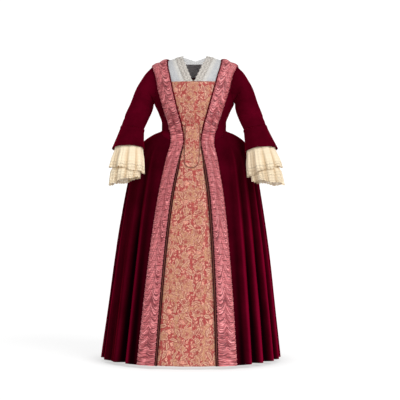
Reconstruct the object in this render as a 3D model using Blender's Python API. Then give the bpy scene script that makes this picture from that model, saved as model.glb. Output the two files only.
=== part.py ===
"""Court dress: open velvet gown with ruched satin robings over a brocade stomacher and petticoat.

Units are metres and +Z is up. The origin lies midway between the shoulders, at their height, where the
wearer carries the gown. The front faces -Y and +X is the side on the right of someone who looks at the
front. Every panel is a thin closed wall on one garment form, a stack of sections that are each a pair of
half ellipses. Angles round the form start at the centre front and grow towards +X.
"""

import bpy
import numpy as np

for old in list(bpy.data.objects):
    bpy.data.objects.remove(old, do_unlink=True)

# The garment form: height, half width, depth of the front half, depth of the back half.
FORM = np.array([
    # z, width, front, back
    (0.030, 0.226, 0.080, 0.090),
    (-0.050, 0.220, 0.086, 0.096),
    (-0.100, 0.204, 0.100, 0.104),
    (-0.160, 0.192, 0.121, 0.109),
    (-0.200, 0.183, 0.130, 0.106),
    (-0.250, 0.160, 0.123, 0.098),
    (-0.290, 0.1470, 0.111, 0.090),
    (-0.327, 0.1465, 0.104, 0.089),
    (-0.345, 0.184, 0.107, 0.125),
    (-0.370, 0.223, 0.116, 0.168),
    (-0.400, 0.251, 0.128, 0.205),
    (-0.460, 0.281, 0.150, 0.245),
    (-0.590, 0.307, 0.184, 0.288),
    (-0.800, 0.341, 0.236, 0.338),
    (-1.100, 0.381, 0.294, 0.402),
    (-1.372, 0.414, 0.345, 0.455),
])
LEAN_TOP = 0.009          # sideways place of the centre line at the shoulders
LEAN_HEM = -0.010         # and at the hem
HEM_Z = -1.372
SHOULDER_Y = 0.012        # the shoulder seam lies just behind the middle
ROUND_FROM = -0.100       # above this height the form rounds over to the shoulder ridge

# The shoulder ridge: distance from the centre, height.
RIDGE = np.array([
    # x, z
    (0.000, 0.026),
    (0.055, 0.020),
    (0.130, -0.001),
    (0.206, -0.036),
])

# The robing on one side, from the shoulder seam to the hem: height, inner edge, outer edge.
ROBING = np.array([
    # z, inner, outer
    (0.000, 0.128, 0.198),
    (-0.030, 0.124, 0.194),
    (-0.080, 0.111, 0.175),
    (-0.150, 0.094, 0.159),
    (-0.255, 0.066, 0.126),
    (-0.318, 0.049, 0.106),
    (-0.383, 0.041, 0.098),
    (-0.450, 0.055, 0.113),
    (-0.530, 0.072, 0.129),
    (-0.647, 0.090, 0.149),
    (-0.984, 0.118, 0.187),
    (-1.372, 0.139, 0.219),
])

# The armhole: height, distance of its edge from the centre.
ARMHOLE = np.array([
    # z, x
    (0.000, 0.204),
    (-0.035, 0.200),
    (-0.080, 0.180),
    (-0.130, 0.171),
    (-0.170, 0.173),
    (-0.199, 0.1808),
])
UNDERARM_Z = -0.200

# Crests of the overskirt's folds: angle in degrees, depth at the hem of the valley past it.
FOLDS_RIGHT = np.array([
    # angle, valley
    (43.0, 0.030),
    (53.5, 0.034),
    (67.0, 0.034),
    (79.0, 0.030),
    (92.0, 0.034),
    (106.0, 0.030),
    (120.0, 0.036),
    (135.0, 0.034),
    (150.0, 0.036),
    (165.0, 0.030),
    (180.0, 0.030),
])
FOLDS_LEFT = np.array([
    # angle, valley
    (41.0, 0.034),
    (52.0, 0.010),
    (70.0, 0.036),
    (82.0, 0.030),
    (96.0, 0.034),
    (110.0, 0.032),
    (124.0, 0.034),
    (138.0, 0.032),
    (152.0, 0.034),
    (166.0, 0.030),
    (180.0, 0.030),
])
FOLD_TOP_Z = -0.400
BACK_SEAM = np.radians(128.0)
PETTICOAT_SEAM = np.radians(58.0)

VELVET = 0.0018
BROCADE = 0.0014
SATIN = 0.0014
NET = 0.0010
LACE = 0.0011
LAYER = 0.0009            # air between one layer of cloth and the next
SEAM = 0.00015            # half of the gap at a seam
WAIST_GAP = 0.0008        # half of the gap at the curved waist seam
UNDER = -0.0006           # outer face of the stomacher and the net, inside the bodice
OVER_1 = LAYER            # inner face of the velvet, outside the stomacher and petticoat
OVER_2 = OVER_1 + VELVET + 0.8 * LAYER
LIFT = 0.0042             # how far a robing lifts off the velvet where the form bends most
RUCHE = 0.0042            # how far a gather of the robing stands out
STOMACHER_TOP = -0.106
WAIST_SIDE = -0.327
WAIST_POINT = -0.380
TAB_HALF = 0.0345
TAB_TOP = -0.300
TAB_END = -0.503
TAB_ROUND = 0.034         # length of the tab's rounded end

# Edge of the tucker's V: height, distance from the centre.
NECK_V = np.array([
    # z, x
    (-0.1065, 0.004),
    (-0.060, 0.024),
    (-0.020, 0.041),
    (0.020, 0.057),
])

# The sleeve as rings, each a pair of ends seen from the front, the depth of its middle, its half depth.
SLEEVE = np.array([
    # outer x, outer z, inner x, inner z, middle y, half depth
    (0.2270, -0.062, 0.1890, -0.198, 0.004, 0.0650),
    (0.2450, -0.090, 0.1905, -0.205, -0.001, 0.0640),
    (0.2690, -0.133, 0.1910, -0.217, -0.008, 0.0610),
    (0.2930, -0.202, 0.1960, -0.240, -0.024, 0.0570),
    (0.3130, -0.252, 0.2100, -0.277, -0.044, 0.0540),
    (0.3280, -0.304, 0.2285, -0.320, -0.066, 0.0525),
])
CUFF = np.array([
    # outer x, outer z, inner x, inner z, middle y, half depth
    (0.3290, -0.3055, 0.2283, -0.3215, -0.0668, 0.0530),
    (0.3455, -0.357, 0.2282, -0.366, -0.092, 0.0600),
    (0.3660, -0.4155, 0.2250, -0.4155, -0.120, 0.0670),
])
CUFF_ARCH = 0.014         # how far the cuff's hem rises in front and falls behind
SPREAD_RIGHT = 0.135      # how much more than in these tables the right forearm slants outwards
SPREAD_LEFT = -0.038
SPREAD_FROM = -0.285      # below this height
DROOP = 0.018             # how far the inner side of the right cuff's hem hangs lower

# The two lace tiers at a cuff, as rings like the sleeve's, and how deep their waves are.
FLOUNCE_UPPER = np.array([
    # outer x, outer z, inner x, inner z, middle y, half depth, wave
    (0.3556, -0.392, 0.2280, -0.392, -0.1078, 0.0624, 0.0),
    (0.3590, -0.425, 0.2300, -0.425, -0.130, 0.0610, 0.0030),
    (0.3690, -0.462, 0.2260, -0.470, -0.153, 0.0660, 0.0050),
    (0.3760, -0.497, 0.2250, -0.525, -0.173, 0.0700, 0.0060),
])
FLOUNCE_LOWER = np.array([
    # outer x, outer z, inner x, inner z, middle y, half depth, wave
    (0.3522, -0.398, 0.2312, -0.398, -0.1115, 0.0594, 0.0),
    (0.3470, -0.420, 0.2370, -0.420, -0.127, 0.0525, 0.0006),
    (0.3530, -0.462, 0.2390, -0.466, -0.153, 0.0520, 0.0020),
    (0.3610, -0.512, 0.2410, -0.515, -0.1775, 0.0535, 0.0030),
    (0.3740, -0.578, 0.2410, -0.545, -0.203, 0.0650, 0.0060),
])
FLOUNCE_WAVES = 9
RING_COLS = 20


def smooth(table, at, column):
    """Smooth curve through a table's rows that never overshoots: its slopes are harmonic means."""
    order = np.argsort(table[:, 0])
    x, y = table[order, 0], table[order, column]
    h, d = np.diff(x), np.diff(y) / np.diff(x)
    slope = np.zeros_like(x)
    slope[0], slope[-1] = d[0], d[-1]
    same = d[:-1] * d[1:] > 0
    w1, w2 = 2 * h[1:] + h[:-1], h[1:] + 2 * h[:-1]
    mean = (w1 + w2) / (w1 / np.where(same, d[:-1], 1.0) + w2 / np.where(same, d[1:], 1.0))
    slope[1:-1] = np.where(same, mean, 0.0)
    at = np.clip(np.asarray(at, float), x[0], x[-1])
    i = np.clip(np.searchsorted(x, at) - 1, 0, len(h) - 1)
    t = (at - x[i]) / h[i]
    return ((1 + 2 * t) * (1 - t) ** 2 * y[i] + t * (1 - t) ** 2 * h[i] * slope[i]
            + t * t * (3 - 2 * t) * y[i + 1] + t * t * (t - 1) * h[i] * slope[i + 1])


def ease(a, b, at):
    """Goes from 0 at a to 1 at b with level ends."""
    t = np.clip((at - a) / (b - a), 0.0, 1.0)
    return t * t * (3 - 2 * t)


def span(count):
    """Even steps from 0 to 1."""
    return np.linspace(0.0, 1.0, count)


def lean(z):
    """Sideways place of the centre line at a height."""
    return LEAN_TOP + (LEAN_HEM - LEAN_TOP) * np.clip(z / HEM_Z, 0.0, 1.0)


def form(angle, z, inset=0.0):
    """Point of the garment form: half ellipses in plan, rounded over to the shoulder ridge at the top."""
    angle, z = np.broadcast_arrays(np.asarray(angle, float), np.asarray(z, float))
    x = (smooth(FORM, z, 1) - inset) * np.sin(angle)
    ridge = smooth(RIDGE, np.abs(x), 1)
    t = np.clip((z - ROUND_FROM) / (ridge - ROUND_FROM), 0.0, 0.9999)
    rounding = np.sqrt(1 - t * t)
    half = np.where(np.cos(angle) > 0, smooth(FORM, z, 2), smooth(FORM, z, 3)) - inset
    y = SHOULDER_Y * (1 - rounding) - half * np.cos(angle) * rounding
    return np.stack([x + lean(z), y, z], -1)


def angle_of(x, z):
    """Angle at which the form reaches a distance from the centre line, on the front half."""
    return np.arcsin(np.clip(x / smooth(FORM, z, 1), -1.0, 1.0))


def across(angle, z):
    """Distance of a place on the form from its centre line."""
    return smooth(FORM, z, 1) * np.sin(angle)


def waist_seam(angle):
    """Height of the waist seam: level at the sides and back, dipping to a point in front."""
    off = np.abs(angle)
    return WAIST_SIDE + (WAIST_POINT - WAIST_SIDE) * (1 - ease(np.radians(12), np.radians(72), off))


def ridge_top(angle, z):
    """Height of the shoulder ridge above a place near it."""
    return smooth(RIDGE, np.abs(across(angle, z)), 1) - 0.0002


def sew(n, column):
    """Gives the two columns at a seam one shared normal, so that the walls beside it don't cross."""
    shared = n[:, column - 1] + n[:, column % n.shape[1]]
    shared /= np.linalg.norm(shared, axis=-1, keepdims=True)
    n[:, column - 1] = n[:, column % n.shape[1]] = shared


def level(value):
    """A height or an angle that is the same all along."""
    return lambda at, *_: value + 0.0 * at


def sheet(low, top, edge_a, edge_b, rows_low, rows_high, cols, crowd=1.0):
    """Angles and heights of a grid between two edges, given as angles at a height, and two heights.

    Rows run up to where the form starts to round over, closer together at the bottom where crowd is
    over 1, and follow the rounding in even arcs.
    """
    v = np.arange(rows_low + rows_high + 1.0)[:, None]
    u = span(cols)[None, :]
    z = np.full((v.size, cols), -0.2)
    for _ in range(30):
        angle = edge_a(z) + (edge_b(z) - edge_a(z)) * u
        bottom, head = low(angle, z), top(angle, z)
        start = np.maximum(ROUND_FROM, bottom) if rows_high else head
        arc = np.clip((v - rows_low) / max(rows_high, 1), 0.0, 1.0)
        z = bottom + (start - bottom) * np.clip(v / max(rows_low, 1), 0.0, 1.0) ** crowd
        z = z + (head - start) * np.sin(arc * np.pi / 2)
    return angle, z


def normals(points, ring=False):
    """Unit normals of a grid, all turned to the side that faces away from the piece's middle line."""
    if ring:
        wide = np.roll(points, -1, 1) - np.roll(points, 1, 1)
        middle = points.mean(1, keepdims=True)
    else:
        wide = np.gradient(points, axis=1)
        middle = np.stack([lean(points[..., 2]), 0 * points[..., 2], points[..., 2] - 0.02], -1)
    n = np.cross(wide, np.gradient(points, axis=0))
    n /= np.maximum(np.linalg.norm(n, axis=-1, keepdims=True), 1e-12)
    return n * np.sign(np.sum(n * (points - middle)))


MATERIALS = {
    # name: red, green, blue, roughness
    "velvet": (0.060, 0.002, 0.010, 0.90),
    "satin": (0.520, 0.140, 0.160, 0.45),
    "brocade": (0.560, 0.220, 0.160, 0.60),
    "lace": (0.830, 0.720, 0.560, 0.80),
    "net": (0.620, 0.620, 0.600, 0.70),
    "braid": (0.080, 0.015, 0.015, 0.70),
}


def material(name):
    """Principled material of one cloth, made once."""
    if name not in bpy.data.materials:
        red, green, blue, rough = MATERIALS[name]
        mat = bpy.data.materials.new(name)
        mat.use_nodes = True
        bsdf = mat.node_tree.nodes["Principled BSDF"]
        bsdf.inputs["Base Color"].default_value = (red, green, blue, 1.0)
        bsdf.inputs["Roughness"].default_value = rough
        bsdf.inputs["Metallic"].default_value = 0.0
    return bpy.data.materials[name]


def wall(name, cloth, outer, inner, ring=False):
    """Closed cloth wall between two grids of points; a ring's last column joins its first.

    Both faces are split along the same diagonals, so that they don't cross where the cloth is waved.
    """
    rows, cols = outer.shape[:2]
    index = np.arange(rows * cols).reshape(rows, cols)
    if ring:
        index = np.concatenate([index, index[:, :1]], 1)
    a, b, c, d = (part.ravel() for part in (index[:-1, :-1], index[:-1, 1:], index[1:, 1:], index[1:, :-1]))
    skin = np.concatenate([np.stack([a, b, c], -1), np.stack([a, c, d], -1)])
    far = rows * cols
    faces = [skin, skin[:, ::-1] + far]
    rims = [index[0], index[-1][::-1]]
    if not ring:
        rims += [index[:, 0][::-1], index[:, -1]]
    for rim in rims:
        faces.append(np.stack([rim[1:], rim[:-1], rim[:-1] + far], -1))
        faces.append(np.stack([rim[1:], rim[:-1] + far, rim[1:] + far], -1))
    points = np.concatenate([outer.reshape(-1, 3), inner.reshape(-1, 3)])
    faces = np.concatenate(faces)
    corner_a, corner_b, corner_c = (points[faces[:, k]] for k in range(3))
    if np.sum(corner_a * np.cross(corner_b, corner_c)) < 0:
        faces = faces[:, ::-1]
    mesh = bpy.data.meshes.new(name)
    mesh.from_pydata(points.tolist(), [], faces.tolist())
    mesh.shade_smooth()
    mesh.materials.append(material(cloth))
    obj = bpy.data.objects.new(name, mesh)
    bpy.context.scene.collection.objects.link(obj)
    return obj


def panel(name, cloth, points, low, high, ring=False, relief=0.0, level_rows=(), n=None):
    """Wall of cloth from low to high above a grid of points, with a relief added to its outer face.

    The wall has no slant at its level rows, so that an edge stays level.
    """
    n = normals(points, ring) if n is None else n
    n[list(level_rows), :, 2] = 0.0
    n /= np.linalg.norm(n, axis=-1, keepdims=True)
    low = low + np.zeros(points.shape[:2])
    height = high + relief + np.zeros(points.shape[:2])
    return wall(name, cloth, points + n * height[..., None], points + n * low[..., None], ring)


def robing_angle(column, shift=0.0):
    """Angle of an edge of the robing as a function of height."""
    return lambda z: angle_of(smooth(ROBING, z, column) + shift, z)


def gathers(count, cols=(0.05, 1.0, 0.15, 1.0, 0.05)):
    """Heights of a ruched strip: two rows a gather, a puff on each side of the shirring line."""
    row = np.arange(2 * count + 1)
    crest = np.where(row % 2, 1.0, 0.2) * (1.0 + 0.25 * np.sin(row * 1.7))
    return RUCHE * crest[:, None] * np.array(cols)[None, :]


# Bodice: each front runs from its front edge over the bust to the side seam, and up to the shoulder.
def side_edge(z):
    """Side seam below the arm, armhole above it."""
    hole = angle_of(smooth(ARMHOLE, z, 1) - 0.0006, z)
    return np.where(z < UNDERARM_Z, np.radians(90.0) - 0.001, hole)


NECK_BACK, NECK_SIDE = -0.012, 0.003   # heights of the back neckline at the centre and at the shoulder


def neckline(x):
    """Height of the bodice's back neckline at a distance from the centre."""
    return NECK_BACK + (NECK_SIDE - NECK_BACK) * ease(0.050, 0.135, np.abs(x))


def bodice_front(side, label):
    """Bodice front, from the waist seam to the shoulder seam."""
    angle, z = sheet(lambda a, z: waist_seam(a) + WAIST_GAP, ridge_top, robing_angle(1, 0.003), side_edge,
                     13, 5, 9, crowd=1.35)
    panel(f"bodice_front_{label}", "velvet", form(side * angle, z), OVER_1, OVER_1 + VELVET,
          level_rows=(0,))


def bodice_back(side, label):
    """Bodice back, with its seam at the centre back."""
    angle, z = sheet(level(WAIST_SIDE + WAIST_GAP),
                     lambda a, z: np.minimum(ridge_top(a, z), neckline(across(a, z))),
                     level(0.0015), side_edge, 8, 5, 8)
    panel(f"bodice_back_{label}", "velvet", form(side * (np.pi - angle), z), OVER_1, OVER_1 + VELVET,
          level_rows=(0,))


# Stomacher: brocade between the bodice fronts, with its edges under them, and its tab.
def stomacher():
    """Brocade front between the robings, and the tongue that hangs from it over the petticoat."""
    angle, z = sheet(lambda a, z: waist_seam(a) + WAIST_GAP, level(STOMACHER_TOP),
                     lambda z: -robing_angle(1, 0.013)(z), robing_angle(1, 0.013), 12, 0, 9, crowd=1.3)
    panel("stomacher", "brocade", form(angle, z), UNDER - BROCADE, UNDER, level_rows=(0,))
    z = TAB_TOP + (TAB_END - TAB_TOP) * np.sin(span(12)[:, None] * np.pi / 2) ** 0.9 + np.zeros((1, 5))
    past = np.clip((TAB_END + TAB_ROUND - z) / TAB_ROUND, 0.0, 0.99)
    half = TAB_HALF * np.sqrt(1 - past ** 2)
    angle = angle_of(half * np.linspace(-1.0, 1.0, 5)[None, :], z)
    panel("stomacher_tab", "brocade", form(angle, z), OVER_1, OVER_1 + BROCADE)


# Skirts: petticoat inside, overskirt outside with its folds.
SKIRT_ROWS = 8
FOLD_COLS = 4
skirt_t = span(SKIRT_ROWS)[:, None] ** 1.6


def growth(z):
    """How far the folds have opened at a height: closed under the waist seam, whole at the hem."""
    return np.clip((FOLD_TOP_Z - z) / (FOLD_TOP_Z - HEM_Z), 0.0, 1.0) ** 0.75


def fold_depth(angle, z):
    """Depth of the overskirt's valleys: a skewed wave from each crest to the next one round."""
    depth = np.zeros_like(z)
    for sign, table in ((1.0, FOLDS_RIGHT), (-1.0, FOLDS_LEFT)):
        place = np.degrees(sign * angle)
        for (crest, valley), (following, _) in zip(table[:-1], table[1:]):
            s = np.clip((place - crest) / (following - crest), 0.0, 1.0)
            depth += valley * np.sin(np.pi * s ** 0.8) ** 2
    return depth * growth(z)


def signed(angle):
    """Angle round the form turned into one between -180 and 180 degrees."""
    return np.where(angle > np.pi, angle - 2 * np.pi, angle)


def skirt_height(angle):
    """Heights of a skirt's rows, close together over the hip and wide apart below."""
    top = waist_seam(signed(angle)) - WAIST_GAP
    return top + (HEM_Z - top) * skirt_t


def petticoat():
    """Petticoat of brocade in front and plain behind; clear of the overskirt's folds at the sides."""
    front = np.linspace(-PETTICOAT_SEAM, PETTICOAT_SEAM, 23)[:-1]
    back = np.linspace(PETTICOAT_SEAM, 2 * np.pi - PETTICOAT_SEAM, 19)[:-1]
    gap = 0.0005
    cols = np.concatenate([[front[0] + gap], front[1:], [back[0] - gap, back[0] + gap], back[1:],
                           [2 * np.pi - PETTICOAT_SEAM - gap]])
    angle = signed(cols[None, :] + np.zeros((SKIRT_ROWS, 1)))
    z = skirt_height(angle)
    inset = ease(np.radians(33), np.radians(50), np.abs(angle)) * (0.012 + 0.046 * growth(z))
    points = form(angle, z, inset)
    n = normals(points, ring=True)
    split = len(front) + 1
    sew(n, split)
    sew(n, len(cols))
    for name, part in (("petticoat_front", slice(0, split)), ("petticoat_back", slice(split, None))):
        panel(name, "brocade", points[:, part], -BROCADE, 0.0, level_rows=(0, -1), n=n[:, part])


def overskirt():
    """Overskirt of three widths: two fronts, open at the centre, and the back, pleated all round."""
    gap = np.degrees(0.0009)
    limit = np.degrees(BACK_SEAM)
    crests = np.concatenate([FOLDS_RIGHT[:, 0], 360.0 - FOLDS_LEFT[-2::-1, 0]])
    cols = np.concatenate([np.linspace(p, q, FOLD_COLS, endpoint=False)
                           for p, q in zip(crests[:-1], crests[1:])] + [crests[-1:]])
    cols = cols[(np.abs(cols - limit) > 2.0) & (np.abs(cols - (360.0 - limit)) > 2.0)]
    seams = [limit - gap, limit + gap, 360.0 - limit - gap, 360.0 - limit + gap]
    cols = np.radians(np.sort(np.concatenate([cols, seams])))
    plain = 4
    angle = cols[None, :] + np.zeros((SKIRT_ROWS, 1))
    edges = []
    for first in (cols[0], 2 * np.pi - cols[-1]):
        front = np.full((SKIRT_ROWS, 1), first)
        for _ in range(8):
            front = opening_angle(skirt_height(front))
        steps = np.arange(plain)[None, :] / plain
        edges.append(front + (first - front) * steps)
    angle = signed(np.concatenate([edges[0], angle, (2 * np.pi - edges[1])[:, ::-1]], 1))
    z = skirt_height(angle)
    points = form(angle, z)
    a = int(np.sum(cols < BACK_SEAM)) + plain
    b = int(np.sum(cols < 2 * np.pi - BACK_SEAM)) + plain
    outward = normals(points) * np.array([1.0, 1.0, 0.0])
    sew(outward, a)
    sew(outward, b)
    outward /= np.linalg.norm(outward, axis=-1, keepdims=True)
    points = points - outward * fold_depth(angle, z)[..., None]
    n = normals(points)
    sew(n, a)
    sew(n, b)
    parts = (("overskirt_right", slice(0, a)), ("overskirt_back", slice(a, b)),
             ("overskirt_left", slice(b, None)))
    for name, part in parts:
        panel(name, "velvet", points[:, part], OVER_1, OVER_1 + VELVET, level_rows=(0, -1), n=n[:, part])


# Braid along the opening of the overskirt, just inside the robing.
BRAID_EDGE = np.array([
    # z, distance from the robing's inner edge to the velvet's edge
    (-0.380, 0.0030),
    (-0.450, 0.0070),
    (-0.530, 0.0130),
    (-1.372, 0.0115),
])


def opening_angle(z):
    """Angle of the overskirt's front edge."""
    return angle_of(smooth(ROBING, z, 1) - smooth(BRAID_EDGE, z, 1), z)


def braid(side, label):
    """Narrow braid that covers the velvet between its edge and the robing."""
    angle, z = sheet(level(HEM_Z), level(-0.400), lambda z: opening_angle(z) + 0.0004,
                     robing_angle(1, -0.0012), 22, 0, 3)
    panel(f"skirt_braid_{label}", "braid", form(side * angle, z), OVER_2, OVER_2 + 0.0022)


# Robings: ruched satin over each shoulder, down the bodice and on down the overskirt.
BODICE_GATHERS = (11, 4)
SKIRT_GATHERS = 25
NECK_GATHERS = 12


def robing_bodice(side, label):
    """Robing of the bodice, from the shoulder seam to the waist point."""
    low, high = BODICE_GATHERS
    angle, z = sheet(level(-0.3823), ridge_top, robing_angle(1), robing_angle(2), 2 * low, 2 * high, 5)
    under = OVER_2 + LIFT * np.exp(-((z - WAIST_SIDE) / 0.022) ** 2)
    panel(f"robing_bodice_{label}", "satin", form(side * angle, z), under, under + SATIN,
          relief=gathers(low + high))


def robing_skirt(side, label):
    """Robing of the overskirt, from the waist point to the hem."""
    angle, z = sheet(level(HEM_Z), level(-0.3838), robing_angle(1), robing_angle(2),
                     2 * SKIRT_GATHERS, 0, 5)
    panel(f"robing_skirt_{label}", "satin", form(side * angle, z), OVER_2, OVER_2 + SATIN,
          relief=gathers(SKIRT_GATHERS))


def robing_neck():
    """Robing round the back of the neck, from shoulder seam to shoulder seam."""
    turn = np.cos(span(2 * NECK_GATHERS + 1) * np.pi)[:, None]
    inner_x, outer_x = 0.128 * turn, 0.198 * turn
    inner_z = np.minimum(smooth(RIDGE, np.abs(inner_x), 1) - 0.0002, neckline(inner_x) - 0.001)
    outer_z = np.minimum(smooth(RIDGE, np.abs(outer_x), 1) - 0.0002, -0.079 + 0.046 * np.abs(turn) ** 2.2)
    u = span(5)[None, :]
    x, z = inner_x + (outer_x - inner_x) * u, inner_z + (outer_z - inner_z) * u
    ends = np.abs(turn) > 0.999
    z = np.where(ends, smooth(RIDGE, np.abs(x), 1) - 0.0002, z)
    under = OVER_2 + LIFT * np.abs(turn) ** 8
    panel("robing_neck", "satin", form(np.pi - angle_of(x, z), z), under, under + SATIN,
          relief=gathers(NECK_GATHERS))


# Sleeves, cuffs and the lace at the cuffs: tubes through rings.
def ring(row, side, arch=0.0, waves=0.0, cols=RING_COLS, phase=0.0):
    """Ring of a tube: an ellipse between its outer and inner ends, with waves pushed outwards."""
    outer_x, outer_z, inner_x, inner_z, mid_y, half_y = row[:6]
    turn = np.arange(cols) * 2 * np.pi / cols
    u, v = np.cos(turn), np.sin(turn)
    swell = 1.0 + waves * np.sin(FLOUNCE_WAVES * turn + phase) / 0.07
    x = (outer_x + inner_x) / 2 + (outer_x - inner_x) / 2 * u * swell
    z = (outer_z + inner_z) / 2 + (outer_z - inner_z) / 2 * u - arch * v
    y = mid_y + half_y * v * swell
    below = np.maximum(SPREAD_FROM - z, 0.0)
    x = x + (SPREAD_RIGHT if side > 0 else SPREAD_LEFT) * below
    z = z - DROOP * (side > 0) * (1 - u) / 2 * np.minimum(below / 0.13, 1.0)
    return np.stack([side * x + lean(z), y, z], -1)


def armhole_ring(side):
    """Ring of the sleeve's head: the armhole's own curve on the form, just outside the bodice."""
    turn = np.arange(RING_COLS) * 2 * np.pi / RING_COLS
    top, bottom = -0.0365, -0.1955
    z = (top + bottom) / 2 + (top - bottom) / 2 * np.cos(turn)
    x = smooth(ARMHOLE, z, 1)
    angle = angle_of(x, z)
    points = form(side * np.where(np.sin(turn) < 0, angle, np.pi - angle), z)
    points[:, 0] += side * (0.0022 + 0.0030 * ((1 - np.cos(turn)) / 2) ** 4)
    return points


def sleeve(side, label):
    """Elbow-length sleeve set into the armhole, and its separate flared cuff."""
    rings = [armhole_ring(side)] + [ring(row, side) for row in SLEEVE]
    panel(f"sleeve_{label}", "velvet", np.array(rings), 0.0, VELVET, ring=True)
    rings = [ring(row, side, arch=CUFF_ARCH * k / (len(CUFF) - 1)) for k, row in enumerate(CUFF)]
    panel(f"cuff_{label}", "velvet", np.array(rings), 0.0, VELVET, ring=True)


def flounces(side, label):
    """Two gathered tiers of lace inside the cuff, the lower one from under the upper one."""
    cols = 3 * FLOUNCE_WAVES
    for tier, table, phase in (("upper", FLOUNCE_UPPER, 0.0), ("lower", FLOUNCE_LOWER, 1.1)):
        rings = [ring(row, side, waves=row[6], cols=cols, phase=phase, arch=CUFF_ARCH * 0.5) for row in table]
        panel(f"flounce_{tier}_{label}", "lace", np.array(rings), -LACE, 0.0, ring=True)


# Tucker: net that fills the neckline, with scalloped lace along its V.
def v_angle(shift):
    """Angle of the V's edge, moved out by a distance."""
    return lambda z: angle_of(smooth(NECK_V, z, 1) + shift, z)


def tucker(side, label):
    """Net front of one side, and the lace edging laid along its V."""
    angle, z = sheet(level(STOMACHER_TOP + 2 * SEAM), ridge_top, v_angle(0.0), robing_angle(1, 0.012),
                     2, 6, 6)
    panel(f"tucker_{label}", "net", form(side * angle, z), UNDER - NET, UNDER)
    angle, z = sheet(level(STOMACHER_TOP + 2 * SEAM), ridge_top, v_angle(-0.002), v_angle(0.036), 2, 6, 4)
    panel(f"tucker_lace_{label}", "lace", form(side * angle, z), 0.2 * LAYER, 0.2 * LAYER + LACE)


NET_BACK_LOW = -0.070      # the net's lower edge behind, under the bodice back
NET_BACK_HALF = 0.134      # and its reach to each side


def net_back_top(x):
    """Height of the net's upper edge behind: lowest at the centre."""
    return 0.004 + 0.29 * np.abs(x)


def tucker_back():
    """Net round the back of the neck, under the bodice's neckline."""
    angle, z = sheet(level(NET_BACK_LOW),
                     lambda a, z: np.minimum(ridge_top(a, z), net_back_top(across(a, z))),
                     lambda z: -angle_of(NET_BACK_HALF, z), lambda z: angle_of(NET_BACK_HALF, z), 7, 0, 11)
    panel("tucker_back", "net", form(np.pi - angle, z), 5 * UNDER - NET, 5 * UNDER)


for side, label in ((-1.0, "left"), (1.0, "right")):
    bodice_front(side, label)
    bodice_back(side, label)
    braid(side, label)
    robing_bodice(side, label)
    robing_skirt(side, label)
    sleeve(side, label)
    flounces(side, label)
    tucker(side, label)
stomacher()
tucker_back()
robing_neck()
petticoat()
overskirt()
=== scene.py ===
"""Court dress: open gown of burgundy velvet with ruched satin robings over a brocade stomacher and petticoat.

Metres, +Z up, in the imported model's frame: the origin lies midway between the shoulders, and the front
faces -Y. Each cloth is a thin shell over the same form as its solid, with its folds, gathers and creases.
"""

import bpy
import numpy as np
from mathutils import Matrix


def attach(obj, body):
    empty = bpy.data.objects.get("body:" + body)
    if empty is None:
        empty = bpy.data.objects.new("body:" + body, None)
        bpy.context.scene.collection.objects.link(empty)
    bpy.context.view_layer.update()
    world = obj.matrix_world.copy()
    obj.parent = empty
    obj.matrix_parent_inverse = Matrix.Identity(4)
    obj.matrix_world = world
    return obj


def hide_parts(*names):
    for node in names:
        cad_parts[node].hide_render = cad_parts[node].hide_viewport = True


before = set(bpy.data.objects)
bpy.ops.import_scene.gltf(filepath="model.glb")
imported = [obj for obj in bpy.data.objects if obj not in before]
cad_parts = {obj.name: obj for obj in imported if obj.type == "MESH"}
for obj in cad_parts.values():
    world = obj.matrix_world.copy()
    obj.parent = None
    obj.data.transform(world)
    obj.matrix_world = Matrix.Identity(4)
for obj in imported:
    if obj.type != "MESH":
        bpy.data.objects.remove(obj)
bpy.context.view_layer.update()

# Studio: a long lens level with the middle of the skirt, a pale floor just under the hem, and soft light
# that comes mostly from the upper right.
VIEW_TURN = np.radians(2.9)
camera = bpy.data.objects.new("camera", bpy.data.cameras.new("camera"))
camera.data.lens = 106.7
camera.data.sensor_width = 36.0
camera.location = (0.311, -5.491, -0.647)
camera.rotation_euler = (np.pi / 2, 0.0, VIEW_TURN)
bpy.context.scene.collection.objects.link(camera)
bpy.context.scene.camera = camera
bpy.context.scene.view_settings.view_transform = "Standard"

FLOOR_Z = -1.387
FLOOR_HALF = 30.0
floor_mesh = bpy.data.meshes.new("floor")
floor_mesh.from_pydata([(x * FLOOR_HALF, y * FLOOR_HALF, FLOOR_Z)
                        for x, y in ((-1, -1), (1, -1), (1, 1), (-1, 1))], [], [(0, 1, 2, 3)])
floor = bpy.data.objects.new("floor", floor_mesh)
bpy.context.scene.collection.objects.link(floor)


class Wire:
    """Output of a shader node, so that formulas on it are written as on a number."""

    def __init__(self, node, key=0):
        self.socket, self.tree = node.outputs[key], node.id_data

    def __add__(self, other):
        return maths("ADD", self, other)

    def __sub__(self, other):
        return maths("SUBTRACT", self, other)

    def __rsub__(self, other):
        return maths("SUBTRACT", other, self)

    def __mul__(self, other):
        return maths("MULTIPLY", self, other)

    def __truediv__(self, other):
        return maths("DIVIDE", self, other)

    def __rtruediv__(self, other):
        return maths("DIVIDE", other, self)

    def __abs__(self):
        return maths("ABSOLUTE", self)

    __radd__ = __add__
    __rmul__ = __mul__


def plug(entry, value):
    """Puts a value or a wire into an input socket."""
    if isinstance(value, Wire):
        entry.id_data.links.new(value.socket, entry)
    else:
        entry.default_value = value


def put(tree, kind, values=(), **settings):
    """New shader node: settings are its own, and values go into its inputs."""
    made = tree.nodes.new(kind)
    for key, value in settings.items():
        setattr(made, key, value)
    for key, value in dict(values).items():
        plug(made.inputs[key], value)
    return made


def maths(operation, *values, clamp=False):
    """Wire from a Math node with these numbers and wires in its inputs."""
    tree = next(value.tree for value in values if isinstance(value, Wire))
    return Wire(put(tree, "ShaderNodeMath", enumerate(values), operation=operation, use_clamp=clamp))


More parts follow.
